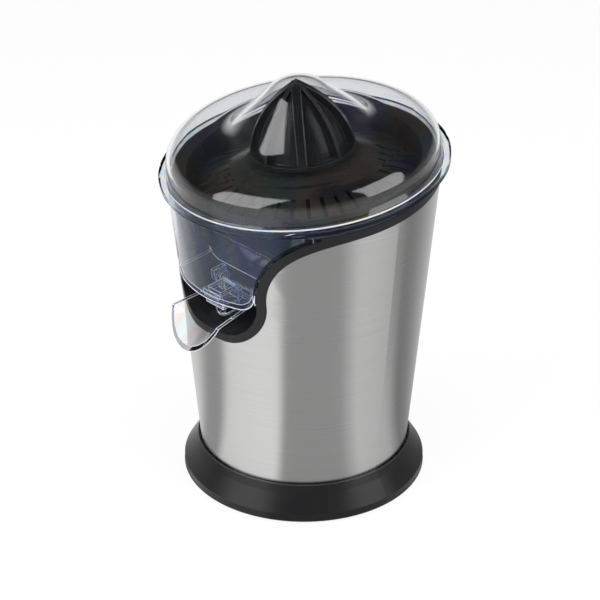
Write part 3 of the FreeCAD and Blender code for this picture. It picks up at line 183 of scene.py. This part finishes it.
def varied_colour(nodes, links, shader, dark, light, scale):
    """A colour that drifts a little over the surface."""
    noise = nodes.new("ShaderNodeTexNoise")
    noise.inputs["Scale"].default_value = scale
    noise.inputs["Detail"].default_value = 3
    links.new(object_coordinates(nodes, links), noise.inputs["Vector"])
    mix = nodes.new("ShaderNodeMix")
    mix.data_type = "RGBA"
    mix.inputs["A"].default_value = (*dark, 1)
    mix.inputs["B"].default_value = (*light, 1)
    links.new(noise.outputs["Fac"], mix.inputs["Factor"])
    links.new(mix.outputs["Result"], shader.inputs["Base Color"])


def plastic(name, dark, light, low, high, bump, broad=40.0, specular=0.5):
    material, nodes, links, shader = start_material(name)
    shader.inputs["Specular IOR Level"].default_value = specular
    varied_colour(nodes, links, shader, dark, light, broad)
    add_skin(nodes, links, shader, low, high, bump, broad=broad)
    return material


def metal(name, dark, light, low, high, bump=0.05, broad=60.0):
    material, nodes, links, shader = start_material(name)
    shader.inputs["Metallic"].default_value = 1.0
    varied_colour(nodes, links, shader, dark, light, broad)
    add_skin(nodes, links, shader, low, high, bump, broad=broad)
    return material


def dish_black():
    """Polished black, its colour drifting through faint patches of brown, green and violet: a painted
    reflection of coloured haze in its gloss.
    """
    material, nodes, links, shader = start_material("dish_black")
    shader.inputs["Specular IOR Level"].default_value = 0.35
    noise = nodes.new("ShaderNodeTexNoise")
    noise.inputs["Scale"].default_value = 17.0
    noise.inputs["Detail"].default_value = 1
    links.new(object_coordinates(nodes, links), noise.inputs["Vector"])
    # The ramp's violet-tinged blacks and its brown, green and violet patches are a painted reflection;
    # under them the dish is plain black.
    ramp = nodes.new("ShaderNodeValToRGB")
    stops = ramp.color_ramp.elements
    stops[0].position, stops[1].position = 0.3, 0.7
    stops[0].color = (0.006, 0.007, 0.016, 1)
    stops[1].color = (0.014, 0.011, 0.030, 1)
    patches = ((0.42, (0.008, 0.008, 0.009)), (0.5, (0.026, 0.018, 0.014)), (0.58, (0.014, 0.020, 0.016)))
    for position, colour in patches:
        stops.new(position).color = (*colour, 1)
    links.new(noise.outputs["Fac"], ramp.inputs["Fac"])
    links.new(ramp.outputs["Color"], shader.inputs["Base Color"])
    add_skin(nodes, links, shader, 0.12, 0.2, 0.02)
    return material


def brushed_body_steel():
    """Sheet steel brushed round the body, so that lights spread up and down it."""
    material, nodes, links, shader = start_material("brushed_body_steel")
    shader.inputs["Metallic"].default_value = 1.0
    shader.inputs["Anisotropic"].default_value = 0.85
    shader.inputs["Anisotropic Rotation"].default_value = 0.25
    tangent = nodes.new("ShaderNodeTangent")
    tangent.direction_type = "RADIAL"
    tangent.axis = "Z"
    links.new(tangent.outputs["Tangent"], shader.inputs["Tangent"])
    lines = nodes.new("ShaderNodeGroup")
    lines.node_tree = BRUSHED_LINES
    lines.inputs["Low"].default_value = 0.2
    lines.inputs["High"].default_value = 0.29
    links.new(object_coordinates(nodes, links, BRUSH_STRETCH), lines.inputs["Vector"])
    mix = nodes.new("ShaderNodeMix")
    mix.data_type = "RGBA"
    mix.inputs["A"].default_value = (0.56, 0.56, 0.555, 1)
    mix.inputs["B"].default_value = (0.68, 0.68, 0.675, 1)
    links.new(lines.outputs["Shade"], mix.inputs["Factor"])
    links.new(mix.outputs["Result"], shader.inputs["Base Color"])
    links.new(lines.outputs["Roughness"], shader.inputs["Roughness"])
    relief = nodes.new("ShaderNodeBump")
    relief.inputs["Strength"].default_value = 0.03
    relief.inputs["Distance"].default_value = BRUSH_DEPTH
    links.new(lines.outputs["Height"], relief.inputs["Height"])
    links.new(relief.outputs["Normal"], shader.inputs["Normal"])
    return material


def clear_moulding(name, tints_and_sheen, band_scale, band_turn, specular=0.5, gloss_tint=(1, 1, 1), ior=1.49):
    """Clear polished plastic with faint bands of colour, that lets lamps through. The bands are the lid's
    faint tint, and on the bowl and spout a painted rainbow sheen.
    """
    material, nodes, links, shader = start_material(name)
    shader.inputs["Transmission Weight"].default_value = 1.0
    shader.inputs["IOR"].default_value = ior
    shader.inputs["Specular IOR Level"].default_value = specular
    shader.inputs["Specular Tint"].default_value = (*gloss_tint, 1)
    wave = nodes.new("ShaderNodeTexWave")
    wave.inputs["Scale"].default_value = 1.0
    wave.inputs["Distortion"].default_value = 3.0
    wave.inputs["Detail"].default_value = 1.0
    wave.inputs["Detail Scale"].default_value = 0.6
    links.new(object_coordinates(nodes, links, band_scale, band_turn), wave.inputs["Vector"])
    # The ramp turns the wave into bands of colour: on the lid a faint tint, on the bowl and spout a
    # painted rainbow sheen.
    ramp = nodes.new("ShaderNodeValToRGB")
    ramp.color_ramp.elements[0].color = (*tints_and_sheen[0], 1)
    ramp.color_ramp.elements[1].color = (*tints_and_sheen[-1], 1)
    for index in range(1, len(tints_and_sheen) - 1):
        stop = ramp.color_ramp.elements.new(index / (len(tints_and_sheen) - 1))
        stop.color = (*tints_and_sheen[index], 1)
    links.new(wave.outputs["Fac"], ramp.inputs["Fac"])
    links.new(ramp.outputs["Color"], shader.inputs["Base Color"])
    add_skin(nodes, links, shader, 0.015, 0.05, 0.0, broad=25.0)
    clear = nodes.new("ShaderNodeBsdfTransparent")
    clear.inputs["Color"].default_value = SHADOW_TINT
    path = nodes.new("ShaderNodeLightPath")
    mix = nodes.new("ShaderNodeMixShader")
    output = nodes["Material Output"]
    links.new(path.outputs["Is Shadow Ray"], mix.inputs["Fac"])
    links.new(shader.outputs["BSDF"], mix.inputs[1])
    links.new(clear.outputs["BSDF"], mix.inputs[2])
    links.new(mix.outputs["Shader"], output.inputs["Surface"])
    return material


def painted_clear_edge_glint():
    """Pale colour for beads along the polished edges of clear plastic: a painted glint where the edges
    gather light.
    """
    material, nodes, links, shader = start_material("painted_clear_edge_glint")
    varied_colour(nodes, links, shader, (0.66, 0.72, 0.9), (0.92, 0.92, 0.98), 60.0)
    add_skin(nodes, links, shader, 0.06, 0.12, 0.0)
    return material


CLEAR_TINTS = [(0.97, 0.98, 1.0), (0.95, 0.97, 1.0), (0.98, 0.98, 0.99)]
# The bowl's bluish tint, with lavender, peach and mint bands of painted rainbow sheen.
BOWL_TINT_AND_RAINBOW_SHEEN = [
    (0.74, 0.80, 0.98), (0.84, 0.80, 0.96), (0.95, 0.90, 0.80), (0.80, 0.95, 0.86), (0.70, 0.78, 0.98),
]
# Pink, yellow and blue bands of painted rainbow sheen on the clear spout.
SPOUT_RAINBOW_SHEEN = [
    (0.97, 0.98, 1.0), (0.98, 0.82, 0.94), (1.0, 0.93, 0.72), (0.78, 0.93, 1.0), (0.96, 0.97, 1.0),
]

FINISHES = {
    "brushed_steel": brushed_body_steel(),
    "clear_lid": clear_moulding("clear_lid", CLEAR_TINTS, (8, 8, 8), (0, 0, 0.4)),
    "clear_bowl": clear_moulding("clear_bowl", BOWL_TINT_AND_RAINBOW_SHEEN, (11, 8, 14), (0.3, 0.2, 0.5), specular=0.16,
                                 gloss_tint=(0.55, 0.65, 1.0)),
    "clear_spout": clear_moulding("clear_spout", SPOUT_RAINBOW_SHEEN, (24, 18, 22), (0.2, 0.5, 0.1), ior=1.3),
    "black_gloss": plastic("black_gloss", (0.006, 0.006, 0.007), (0.011, 0.011, 0.012), 0.1, 0.18, 0.03),
    "black_satin": plastic("black_satin", (0.008, 0.008, 0.009), (0.014, 0.014, 0.015), 0.24, 0.34, 0.1,
                           specular=0.22),
    "dark_trim": plastic("dark_trim", (0.010, 0.010, 0.011), (0.017, 0.017, 0.019), 0.32, 0.44, 0.1,
                         specular=0.22),
    "painted_clear_edge_glint": painted_clear_edge_glint(),
    "cone_black": plastic("cone_black", (0.007, 0.007, 0.008), (0.012, 0.012, 0.013), 0.16, 0.24, 0.03,
                          specular=0.16),
    # A lighter black for beads along the cone's ribs and the base's edges: a painted highlight on them.
    "painted_rib_highlight": plastic("painted_rib_highlight", (0.03, 0.03, 0.034), (0.05, 0.05, 0.055), 0.16, 0.24, 0.0),
    "dish_black": dish_black(),
    "plain_steel": metal("plain_steel", (0.5, 0.5, 0.51), (0.62, 0.62, 0.62), 0.2, 0.34),
    "gear_nylon": plastic("gear_nylon", (0.68, 0.66, 0.6), (0.78, 0.77, 0.72), 0.4, 0.55, 0.1),
    "bearing_bronze": metal("bearing_bronze", (0.5, 0.32, 0.14), (0.66, 0.45, 0.22), 0.35, 0.5),
    "copper_coils": metal("copper_coils", (0.55, 0.22, 0.1), (0.75, 0.36, 0.18), 0.3, 0.45, 0.4, 200.0),
    "motor_casting": metal("motor_casting", (0.5, 0.51, 0.52), (0.62, 0.63, 0.64), 0.4, 0.55, 0.3),
    "soft_rubber": plastic("soft_rubber", (0.018, 0.018, 0.018), (0.03, 0.03, 0.03), 0.6, 0.75, 0.3),
    "silicone": plastic("silicone", (0.66, 0.67, 0.68), (0.76, 0.77, 0.78), 0.35, 0.5, 0.1),
}

SLOT_FINISH = {"clear_plastic": "clear_bowl"}
NODE_FINISH = {
    "lid": "clear_lid", "spout": "clear_spout", "spout_stopper": "clear_spout",
    "strainer": "dish_black", "reamer": "cone_black",
}


def dress_nodes():
    """Give every CAD node its finish."""
    for entry in frame["record"]["subparts"]:
        node, slot = entry["node"], entry["material_slot"]
        finish = FINISHES[NODE_FINISH.get(node, SLOT_FINISH.get(slot, slot))]
        for holder in frame["nodes"][node].material_slots:
            holder.material = finish


dress_nodes()


# Pieces

def pick(piece):
    """Make a piece the only one selected, and the active one."""
    bpy.ops.object.select_all(action="DESELECT")
    piece.select_set(True)
    bpy.context.view_layer.objects.active = piece


def arc(centre, radius, first, last, count):
    """Points along an arc, with angles in degrees."""
    points = []
    for step in range(count + 1):
        angle = math.radians(first + (last - first) * step / count)
        points.append((centre[0] + radius * math.cos(angle), centre[1] + radius * math.sin(angle)))
    return points


def lean(piece):
    """Stand a piece that was modelled about its own axis on the leaning drive axis."""
    piece.matrix_world = TOP_PLACE
    pick(piece)
    bpy.ops.object.transform_apply(location=True, rotation=True, scale=True)


def turned(name, outline, steps):
    """Turn a closed outline of (radius, height) in millimetres about Z."""
    bpy.ops.object.select_all(action="DESELECT")
    bpy.ops.mesh.primitive_circle_add(vertices=len(outline), radius=0.01, fill_type="NOTHING")
    piece = bpy.context.object
    piece.name = name
    for vertex, (radius, height) in zip(piece.data.vertices, outline):
        vertex.co = (radius * MM, 0, height * MM)
    bpy.ops.object.mode_set(mode="EDIT")
    bpy.ops.mesh.select_all(action="SELECT")
    bpy.ops.mesh.spin(steps=steps, angle=2 * math.pi, center=(0, 0, 0), axis=(0, 0, 1))
    bpy.ops.mesh.select_all(action="SELECT")
    bpy.ops.mesh.remove_doubles(threshold=0.00001)
    bpy.ops.mesh.normals_make_consistent(inside=False)
    bpy.ops.object.mode_set(mode="OBJECT")
    return piece


def smooth(piece, degrees):
    pick(piece)
    bpy.ops.object.shade_smooth_by_angle(angle=math.radians(degrees))


def finish_piece(piece, body, slot, finish, *nodes):
    piece.data.materials.clear()
    piece.data.materials.append(FINISHES[finish])
    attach(piece, body)
    if nodes:
        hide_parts(*nodes)


# The lid's section in millimetres: each arc has its centre and radius.
LID_WALL = 2.0
LID_FOOT_RADIUS = 79.9
LID_FOOT = [(78.2, -1.5), (79.4, -1.5)]
LID_SHOULDER = (66, 7.1), 12.8
LID_SADDLE = (53, 40.9), 21
LID_DOME = (0, 25.8), 26


def lid_line(inset, foot_height):
    """The lid's half section from its foot to its tip."""
    shoulder, shoulder_radius = LID_SHOULDER
    saddle, saddle_radius = LID_SADDLE
    dome, dome_radius = LID_DOME
    points = [(LID_FOOT_RADIUS - inset, foot_height)]
    points += arc(shoulder, shoulder_radius - inset, 0, 90, 14)
    points += arc(saddle, saddle_radius + inset, 270, 228, 12)
    points += arc(dome, dome_radius - inset, 48, 90, 14)
    return points


def clear_lid():
    """The lid as one smooth clear shell."""
    outer, inner = lid_line(0, -0.9), lid_line(LID_WALL, -1.1)
    lid = turned("clear_lid", LID_FOOT + outer + list(reversed(inner)), 192)
    lean(lid)
    smooth(lid, 35)
    finish_piece(lid, "lid", "clear_plastic", "clear_lid", "lid")


def copy_of(node, name):
    """A merged copy of a solid's mesh at the origin."""
    pick(frame["nodes"][node])
    bpy.ops.object.duplicate()
    piece = bpy.context.object
    piece.name = name
    for key in list(piece.keys()):
        del piece[key]
    bpy.ops.object.parent_clear(type="CLEAR_KEEP_TRANSFORM")
    bpy.ops.object.transform_apply(location=True, rotation=True, scale=True)
    bpy.ops.object.mode_set(mode="EDIT")
    bpy.ops.mesh.select_all(action="SELECT")
    bpy.ops.mesh.remove_doubles(threshold=0.000002)
    bpy.ops.object.mode_set(mode="OBJECT")
    return piece


def highlight_beads(node, body, slot, finish, thickness, highest=math.inf):
    """Fine beads, in millimetres thick, along a moulding's sharp edges below a height in metres, in a
    lighter finish that paints a highlight along those edges.
    """
    piece = copy_of(node, f"{node}_edges")
    bpy.ops.object.mode_set(mode="EDIT")
    bpy.ops.mesh.select_mode(type="EDGE")
    bpy.ops.mesh.select_all(action="DESELECT")
    bpy.ops.mesh.edges_select_sharp(sharpness=math.radians(40))
    bpy.ops.object.mode_set(mode="OBJECT")
    for edge in piece.data.edges:
        if max(piece.data.vertices[end].co.z for end in edge.vertices) > highest:
            edge.select = False
    bpy.ops.object.mode_set(mode="EDIT")
    bpy.ops.mesh.select_all(action="INVERT")
    bpy.ops.mesh.delete(type="EDGE")
    bpy.ops.mesh.select_all(action="SELECT")
    bpy.ops.mesh.delete(type="ONLY_FACE")
    bpy.ops.object.mode_set(mode="OBJECT")
    bpy.ops.object.convert(target="CURVE")
    piece = bpy.context.object
    piece.data.bevel_depth = thickness / 2 * MM
    piece.data.bevel_resolution = 1
    bpy.ops.object.convert(target="MESH")
    piece = bpy.context.object
    smooth(piece, 60)
    finish_piece(piece, body, slot, finish)


def sprung_coil():
    """The return spring, a smoothed copy of its solid in plain steel. On the press it closes up under the
    collar as the cone is pressed; this copy is not made to close up.
    """
    coil = copy_of("return_spring", "sprung_coil")
    smooth(coil, 50)
    coil.data.materials.clear()
    coil.data.materials.append(FINISHES["plain_steel"])
    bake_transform(coil)
    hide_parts("return_spring")


clear_lid()
sprung_coil()
# Painted highlights: pale beads on the bowl's and spout's edges, lighter black beads on the cone's ribs
# and the base's edges.
highlight_beads("bowl", "bowl", "clear_plastic", "painted_clear_edge_glint", thickness=0.46, highest=0.15)
highlight_beads("spout", "spout", "clear_plastic", "painted_clear_edge_glint", thickness=0.32)
highlight_beads("reamer", "reamer", "black_gloss", "painted_rib_highlight", thickness=0.4)
highlight_beads("base_ring", "housing", "black_satin", "painted_rib_highlight", thickness=0.5)


# Stage

def math_node(nodes, operation):
    node = nodes.new("ShaderNodeMath")
    node.operation = operation
    return node


def seen_by_eye(nodes, links):
    """1 for rays from the camera, off a gloss or through glass, 0 for the rest."""
    path = nodes.new("ShaderNodeLightPath")
    gloss = math_node(nodes, "MAXIMUM")
    seen = math_node(nodes, "MAXIMUM")
    links.new(path.outputs["Is Camera Ray"], gloss.inputs[0])
    links.new(path.outputs["Is Glossy Ray"], gloss.inputs[1])
    links.new(gloss.outputs["Value"], seen.inputs[0])
    links.new(path.outputs["Is Transmission Ray"], seen.inputs[1])
    return seen.outputs["Value"]


FLOOR_DROP = 0.0002
FLOOR_WHITE_SHARE = 0.9


def white_floor():
    """A white sweep that keeps a soft shadow."""
    bpy.ops.object.select_all(action="DESELECT")
    bpy.ops.mesh.primitive_plane_add(size=30, location=(0, 0, -FLOOR_DROP))
    floor = bpy.context.object
    floor.name = "floor"
    material, nodes, links, shader = start_material("white_floor")
    shader.inputs["Base Color"].default_value = (0.9, 0.9, 0.9, 1)
    shader.inputs["Roughness"].default_value = 0.7
    glow = nodes.new("ShaderNodeEmission")
    glow.inputs["Strength"].default_value = 1.0
    share = math_node(nodes, "MULTIPLY")
    share.inputs[1].default_value = FLOOR_WHITE_SHARE
    links.new(seen_by_eye(nodes, links), share.inputs[0])
    mix = nodes.new("ShaderNodeMixShader")
    links.new(share.outputs["Value"], mix.inputs["Fac"])
    links.new(shader.outputs["BSDF"], mix.inputs[1])
    links.new(glow.outputs["Emission"], mix.inputs[2])
    links.new(mix.outputs["Shader"], nodes["Material Output"].inputs["Surface"])
    floor.data.materials.append(material)


# The studio's cards, round the press from behind it: a grey wing and a white card on the left,
# a grey card in front, a pale card and a dark wing on the right, and white behind.
# Each is a direction in degrees from the camera's own and a brightness.
CARD_LEVELS = [
    (-180, 1.0), (-115, 0.8), (-95, 0.4), (-78, 0.4), (-68, 0.9), (-22, 1.0),
    (-15, 0.4), (30, 0.4), (45, 0.7), (75, 0.6), (92, 0.25), (105, 0.3), (180, 1.0),
]
OVERHEAD_LEVEL = 0.035
OVERHEAD_FROM, OVERHEAD_TO = 0.3, 0.7
TABLE_CARD_RADIUS = 0.0745
TABLE_CARD_GROWTH = 24
TENT_RADIUS = 1.75

CAMERA_AZIMUTH = 48
CAMERA_YAW = 0.147
CAMERA_DIP = 27.66
CAMERA_REACH = 0.926
CAMERA_HEIGHT = 0.595
SENSOR_WIDTH = 36
FOCAL_SHARE = 1753 / 600
LAMP_TARGET = Vector((0, 0, 0.14))


def card_material():
    """Grey and white cards: bands by direction near the table, one dark level overhead."""
    material, nodes, links, _ = start_material("studio_cards")
    where = nodes.new("ShaderNodeTexCoord")
    split = nodes.new("ShaderNodeSeparateXYZ")
    links.new(where.outputs["Object"], split.inputs["Vector"])
    ahead = math_node(nodes, "MULTIPLY")
    ahead.inputs[1].default_value = -1
    links.new(split.outputs["Y"], ahead.inputs[0])
    azimuth = math_node(nodes, "ARCTAN2")
    links.new(split.outputs["X"], azimuth.inputs[0])
    links.new(ahead.outputs["Value"], azimuth.inputs[1])
    share = math_node(nodes, "MULTIPLY_ADD")
    share.inputs[1].default_value = 1 / (2 * math.pi)
    share.inputs[2].default_value = 1.5 - CAMERA_AZIMUTH / 360
    links.new(azimuth.outputs["Value"], share.inputs[0])
    wrapped = math_node(nodes, "FRACT")
    links.new(share.outputs["Value"], wrapped.inputs[0])
    ramp = nodes.new("ShaderNodeValToRGB")
    stops = ramp.color_ramp.elements
    stops[0].position, stops[1].position = 0.0, 1.0
    for stop, (_, level) in zip(stops, (CARD_LEVELS[0], CARD_LEVELS[-1])):
        stop.color = (level, level, level, 1)
    for direction, level in CARD_LEVELS[1:-1]:
        stop = stops.new(direction / 360 + 0.5)
        stop.color = (level, level, level, 1)
    links.new(wrapped.outputs["Value"], ramp.inputs["Fac"])
    height = nodes.new("ShaderNodeMapRange")
    height.inputs["From Min"].default_value = OVERHEAD_FROM
    height.inputs["From Max"].default_value = OVERHEAD_TO
    links.new(split.outputs["Z"], height.inputs["Value"])
    mix = nodes.new("ShaderNodeMix")
    mix.data_type = "RGBA"
    mix.inputs["B"].default_value = (OVERHEAD_LEVEL, OVERHEAD_LEVEL, OVERHEAD_LEVEL, 1)
    links.new(height.outputs["Result"], mix.inputs["Factor"])
    links.new(ramp.outputs["Color"], mix.inputs["A"])
    glow = nodes.new("ShaderNodeEmission")
    links.new(mix.outputs["Result"], glow.inputs["Color"])
    links.new(glow.outputs["Emission"], nodes["Material Output"].inputs["Surface"])
    return material


def studio_cards():
    """Cards on the table and a tent over it, kept from the eye and from lighting the press.

    They show in its gloss, and the tent shows through its clear pieces too.
    """
    bpy.ops.object.select_all(action="DESELECT")
    bpy.ops.mesh.primitive_circle_add(vertices=96, radius=TABLE_CARD_RADIUS, fill_type="NOTHING")
    table = bpy.context.object
    table.name = "table_cards"
    bpy.ops.object.mode_set(mode="EDIT")
    bpy.ops.mesh.select_all(action="SELECT")
    bpy.ops.mesh.extrude_edges_move()
    bpy.ops.transform.resize(value=(TABLE_CARD_GROWTH, TABLE_CARD_GROWTH, 1))
    bpy.ops.object.mode_set(mode="OBJECT")
    bpy.ops.object.select_all(action="DESELECT")
    bpy.ops.mesh.primitive_uv_sphere_add(segments=96, ring_count=48, radius=TENT_RADIUS)
    tent = bpy.context.object
    tent.name = "tent_cards"
    bpy.ops.object.mode_set(mode="EDIT")
    bpy.ops.mesh.select_all(action="SELECT")
    bpy.ops.mesh.bisect(plane_co=(0, 0, 0.001), plane_no=(0, 0, 1), clear_inner=True)
    bpy.ops.object.mode_set(mode="OBJECT")
    levels = card_material()
    for card in (table, tent):
        card.data.materials.append(levels)
        card.visible_camera = False
        card.visible_diffuse = False
        card.visible_shadow = False
    table.visible_transmission = False


def world_light():
    world = bpy.data.worlds.new("studio")
    bpy.context.scene.world = world
    world.use_nodes = True
    nodes, links = world.node_tree.nodes, world.node_tree.links
    back = nodes["Background"]
    level = nodes.new("ShaderNodeMapRange")
    level.inputs["To Min"].default_value = 0.6
    level.inputs["To Max"].default_value = 1.0
    links.new(seen_by_eye(nodes, links), level.inputs["Value"])
    links.new(level.outputs["Result"], back.inputs["Strength"])
    back.inputs["Color"].default_value = (1, 1, 1, 1)


def softbox(name, azimuth, elevation, distance, width, height, power, shows=True):
    """A lamp panel aimed at the press. Azimuth 0 is in front of the spout, 90 is on +X."""
    turn, rise = math.radians(azimuth), math.radians(elevation)
    spot = Vector((math.sin(turn) * math.cos(rise), -math.cos(turn) * math.cos(rise), math.sin(rise)))
    lamp = bpy.data.lights.new(name, "AREA")
    lamp.shape = "RECTANGLE"
    lamp.size, lamp.size_y = width, height
    lamp.energy = power
    holder = bpy.data.objects.new(name, lamp)
    bpy.context.collection.objects.link(holder)
    holder.location = LAMP_TARGET + spot * distance
    holder.rotation_euler = (-spot).to_track_quat("-Z", "Y").to_euler()
    holder.visible_glossy = shows
    holder.visible_transmission = shows


def camera():
    data = bpy.data.cameras.new("camera")
    holder = bpy.data.objects.new("camera", data)
    bpy.context.collection.objects.link(holder)
    data.sensor_width = SENSOR_WIDTH
    data.lens = FOCAL_SHARE * SENSOR_WIDTH
    turn = math.radians(CAMERA_AZIMUTH)
    holder.location = (CAMERA_REACH * math.sin(turn), -CAMERA_REACH * math.cos(turn), CAMERA_HEIGHT)
    holder.rotation_euler = (math.radians(90 - CAMERA_DIP), 0, math.radians(CAMERA_AZIMUTH + CAMERA_YAW))
    bpy.context.scene.camera = holder


white_floor()
studio_cards()
world_light()
softbox("left_softbox", azimuth=-8, elevation=33, distance=1.1, width=0.85, height=1.0, power=9)
softbox("right_softbox", azimuth=112, elevation=30, distance=1.1, width=0.7, height=1.0, power=7)
softbox("top_softbox", azimuth=60, elevation=80, distance=1.2, width=0.6, height=0.6, power=4, shows=False)
camera()
bpy.context.scene.view_settings.view_transform = "Standard"
